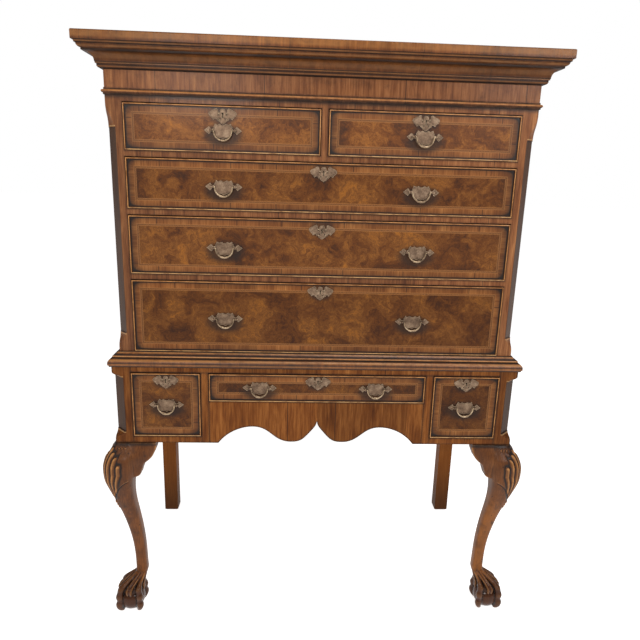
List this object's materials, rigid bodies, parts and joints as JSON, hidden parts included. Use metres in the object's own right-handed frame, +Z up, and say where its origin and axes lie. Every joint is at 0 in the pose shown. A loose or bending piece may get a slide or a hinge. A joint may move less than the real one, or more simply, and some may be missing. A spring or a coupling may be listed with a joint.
{
  "type": "tall chest of drawers on stand",
  "caption": "Tall walnut chest of drawers on a stand with carved cabriole front legs, shaped apron, canted corners and brass bail handles.",
  "frame": {"origin": "on the floor, under the middle of the whole chest's bounding box", "axes": "+X is the right hand of someone who faces the drawers, +Y points to the back, +Z is up"},
  "size_m": [1.1, 0.565, 1.478],
  "materials": {
    "walnut": "satin",
    "burr_walnut": "satin",
    "drawer_lining": "matt",
    "back_boards": "matt",
    "aged_brass": "aged satin",
    "lock_iron": "dull"
  },
  "bodies": {
    "carcase": {"cornice": "walnut", "frieze": "walnut", "upper_case_sides": "walnut", "upper_case_boards": "walnut", "upper_case_back": "back_boards", "upper_corner_posts": "walnut", "upper_drawer_rails": "walnut", "drawer_runners": "drawer_lining", "waist_moulding": "walnut", "stand_sides": "walnut", "stand_back": "back_boards", "stand_front_frame": "walnut", "stand_apron": "walnut", "front_leg_right": "walnut", "front_leg_left": "walnut", "rear_legs": "walnut"},
    "drawer_short_left": {"drawer_short_left_front": "burr_walnut", "drawer_short_left_box": "drawer_lining", "drawer_short_left_brasses": "aged_brass"},
    "lock_bolt_short_left": {"lock_bolt_short_left": "lock_iron"},
    "bail_short_left": {"bail_short_left": "aged_brass"},
    "drawer_short_right": {"drawer_short_right_front": "burr_walnut", "drawer_short_right_box": "drawer_lining", "drawer_short_right_brasses": "aged_brass"},
    "lock_bolt_short_right": {"lock_bolt_short_right": "lock_iron"},
    "bail_short_right": {"bail_short_right": "aged_brass"},
    "drawer_long_top": {"drawer_long_top_front": "burr_walnut", "drawer_long_top_box": "drawer_lining", "drawer_long_top_brasses": "aged_brass"},
    "lock_bolt_long_top": {"lock_bolt_long_top": "lock_iron"},
    "bail_long_top_left": {"bail_long_top_left": "aged_brass"},
    "bail_long_top_right": {"bail_long_top_right": "aged_brass"},
    "drawer_long_middle": {"drawer_long_middle_front": "burr_walnut", "drawer_long_middle_box": "drawer_lining", "drawer_long_middle_brasses": "aged_brass"},
    "lock_bolt_long_middle": {"lock_bolt_long_middle": "lock_iron"},
    "bail_long_middle_left": {"bail_long_middle_left": "aged_brass"},
    "bail_long_middle_right": {"bail_long_middle_right": "aged_brass"},
    "drawer_long_bottom": {"drawer_long_bottom_front": "burr_walnut", "drawer_long_bottom_box": "drawer_lining", "drawer_long_bottom_brasses": "aged_brass"},
    "lock_bolt_long_bottom": {"lock_bolt_long_bottom": "lock_iron"},
    "bail_long_bottom_left": {"bail_long_bottom_left": "aged_brass"},
    "bail_long_bottom_right": {"bail_long_bottom_right": "aged_brass"},
    "drawer_stand_left": {"drawer_stand_left_front": "burr_walnut", "drawer_stand_left_box": "drawer_lining", "drawer_stand_left_brasses": "aged_brass"},
    "lock_bolt_stand_left": {"lock_bolt_stand_left": "lock_iron"},
    "bail_stand_left": {"bail_stand_left": "aged_brass"},
    "drawer_stand_centre": {"drawer_stand_centre_front": "burr_walnut", "drawer_stand_centre_box": "drawer_lining", "drawer_stand_centre_brasses": "aged_brass"},
    "lock_bolt_stand_centre": {"lock_bolt_stand_centre": "lock_iron"},
    "bail_stand_centre_left": {"bail_stand_centre_left": "aged_brass"},
    "bail_stand_centre_right": {"bail_stand_centre_right": "aged_brass"},
    "drawer_stand_right": {"drawer_stand_right_front": "burr_walnut", "drawer_stand_right_box": "drawer_lining", "drawer_stand_right_brasses": "aged_brass"},
    "lock_bolt_stand_right": {"lock_bolt_stand_right": "lock_iron"},
    "bail_stand_right": {"bail_stand_right": "aged_brass"}
  },
  "joints": [
    {"name": "slide_short_left", "type": "slide", "parent": "carcase", "child": "drawer_short_left", "axis": [0, -1, 0], "range_m": [0, 0.38]},
    {"name": "bolt_short_left", "type": "slide", "parent": "drawer_short_left", "child": "lock_bolt_short_left", "axis": [0, 0, 1], "range_m": [0, 0.007]},
    {"name": "swing_short_left", "type": "hinge", "parent": "drawer_short_left", "child": "bail_short_left", "pos_m": [-0.2355, -0.241, 1.2852], "axis": [-1, 0, 0], "range_deg": [-8, 188]},
    {"name": "slide_short_right", "type": "slide", "parent": "carcase", "child": "drawer_short_right", "axis": [0, -1, 0], "range_m": [0, 0.38]},
    {"name": "bolt_short_right", "type": "slide", "parent": "drawer_short_right", "child": "lock_bolt_short_right", "axis": [0, 0, 1], "range_m": [0, 0.007]},
    {"name": "swing_short_right", "type": "hinge", "parent": "drawer_short_right", "child": "bail_short_right", "pos_m": [0.2355, -0.241, 1.2852], "axis": [-1, 0, 0], "range_deg": [-8, 188]},
    {"name": "slide_long_top", "type": "slide", "parent": "carcase", "child": "drawer_long_top", "axis": [0, -1, 0], "range_m": [0, 0.38]},
    {"name": "bolt_long_top", "type": "slide", "parent": "drawer_long_top", "child": "lock_bolt_long_top", "axis": [0, 0, 1], "range_m": [0, 0.007]},
    {"name": "swing_long_top_left", "type": "hinge", "parent": "drawer_long_top", "child": "bail_long_top_left", "pos_m": [-0.235, -0.241, 1.1589], "axis": [-1, 0, 0], "range_deg": [-8, 188]},
    {"name": "swing_long_top_right", "type": "hinge", "parent": "drawer_long_top", "child": "bail_long_top_right", "pos_m": [0.235, -0.241, 1.1589], "axis": [-1, 0, 0], "range_deg": [-8, 188]},
    {"name": "slide_long_middle", "type": "slide", "parent": "carcase", "child": "drawer_long_middle", "axis": [0, -1, 0], "range_m": [0, 0.38]},
    {"name": "bolt_long_middle", "type": "slide", "parent": "drawer_long_middle", "child": "lock_bolt_long_middle", "axis": [0, 0, 1], "range_m": [0, 0.007]},
    {"name": "swing_long_middle_left", "type": "hinge", "parent": "drawer_long_middle", "child": "bail_long_middle_left", "pos_m": [-0.235, -0.241, 1.0149], "axis": [-1, 0, 0], "range_deg": [-8, 188]},
    {"name": "swing_long_middle_right", "type": "hinge", "parent": "drawer_long_middle", "child": "bail_long_middle_right", "pos_m": [0.235, -0.241, 1.0149], "axis": [-1, 0, 0], "range_deg": [-8, 188]},
    {"name": "slide_long_bottom", "type": "slide", "parent": "carcase", "child": "drawer_long_bottom", "axis": [0, -1, 0], "range_m": [0, 0.38]},
    {"name": "bolt_long_bottom", "type": "slide", "parent": "drawer_long_bottom", "child": "lock_bolt_long_bottom", "axis": [0, 0, 1], "range_m": [0, 0.007]},
    {"name": "swing_long_bottom_left", "type": "hinge", "parent": "drawer_long_bottom", "child": "bail_long_bottom_left", "pos_m": [-0.235, -0.241, 0.8389], "axis": [-1, 0, 0], "range_deg": [-8, 188]},
    {"name": "swing_long_bottom_right", "type": "hinge", "parent": "drawer_long_bottom", "child": "bail_long_bottom_right", "pos_m": [0.235, -0.241, 0.8389], "axis": [-1, 0, 0], "range_deg": [-8, 188]},
    {"name": "slide_stand_left", "type": "slide", "parent": "carcase", "child": "drawer_stand_left", "axis": [0, -1, 0], "range_m": [0, 0.38]},
    {"name": "bolt_stand_left", "type": "slide", "parent": "drawer_stand_left", "child": "lock_bolt_stand_left", "axis": [0, 0, 1], "range_m": [0, 0.007]},
    {"name": "swing_stand_left", "type": "hinge", "parent": "drawer_stand_left", "child": "bail_stand_left", "pos_m": [-0.3845, -0.2585, 0.6147], "axis": [-1, 0, 0], "range_deg": [-8, 188]},
    {"name": "slide_stand_centre", "type": "slide", "parent": "carcase", "child": "drawer_stand_centre", "axis": [0, -1, 0], "range_m": [0, 0.38]},
    {"name": "bolt_stand_centre", "type": "slide", "parent": "drawer_stand_centre", "child": "lock_bolt_stand_centre", "axis": [0, 0, 1], "range_m": [0, 0.007]},
    {"name": "swing_stand_centre_left", "type": "hinge", "parent": "drawer_stand_centre", "child": "bail_stand_centre_left", "pos_m": [-0.1485, -0.2585, 0.6629], "axis": [-1, 0, 0], "range_deg": [-8, 188]},
    {"name": "swing_stand_centre_right", "type": "hinge", "parent": "drawer_stand_centre", "child": "bail_stand_centre_right", "pos_m": [0.1485, -0.2585, 0.6629], "axis": [-1, 0, 0], "range_deg": [-8, 188]},
    {"name": "slide_stand_right", "type": "slide", "parent": "carcase", "child": "drawer_stand_right", "axis": [0, -1, 0], "range_m": [0, 0.38]},
    {"name": "bolt_stand_right", "type": "slide", "parent": "drawer_stand_right", "child": "lock_bolt_stand_right", "axis": [0, 0, 1], "range_m": [0, 0.007]},
    {"name": "swing_stand_right", "type": "hinge", "parent": "drawer_stand_right", "child": "bail_stand_right", "pos_m": [0.3845, -0.2585, 0.6147], "axis": [-1, 0, 0], "range_deg": [-8, 188]}
  ]
}
